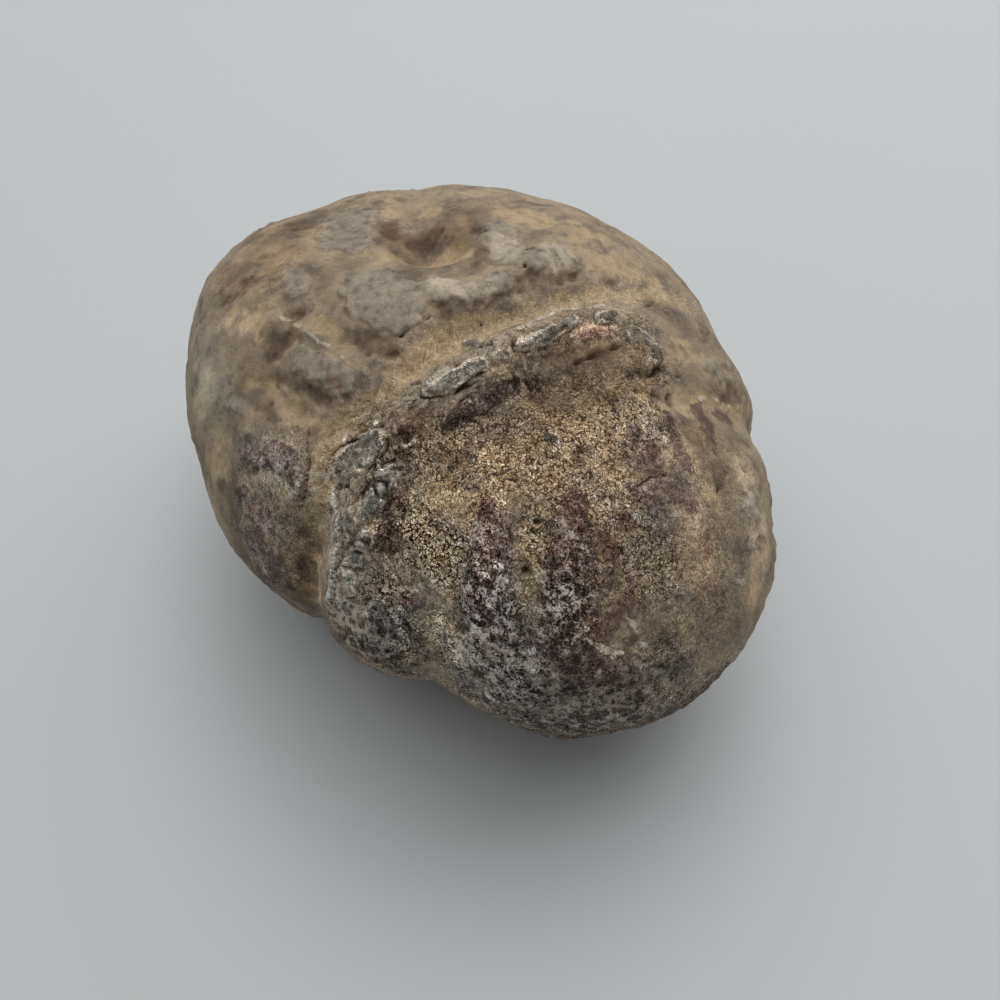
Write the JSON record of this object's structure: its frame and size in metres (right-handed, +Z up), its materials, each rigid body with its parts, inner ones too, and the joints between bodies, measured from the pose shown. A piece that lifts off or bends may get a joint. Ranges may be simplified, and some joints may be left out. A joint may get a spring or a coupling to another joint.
{
  "type": "fossil sea urchin",
  "caption": "Worn fossil sea urchin: an oval lump of limestone with two lobes and a ledge between them, which rests on its worn flat underside.",
  "frame": {"origin": "under the middle of the lump's box, on the surface that it rests on", "axes": "+Z up, +X along the lump's length, +Y across it, so the face with the ledge looks up between +X and -Y"},
  "size_m": [0.0648, 0.0488, 0.0381],
  "materials": {
    "limestone": "worn matt limestone, taupe with purple grey shell patches, ochre sediment in the hollows and a pale grainy crust"
  },
  "bodies": {
    "root": {"sea_urchin_fossil": "limestone"}
  },
  "joints": []
}
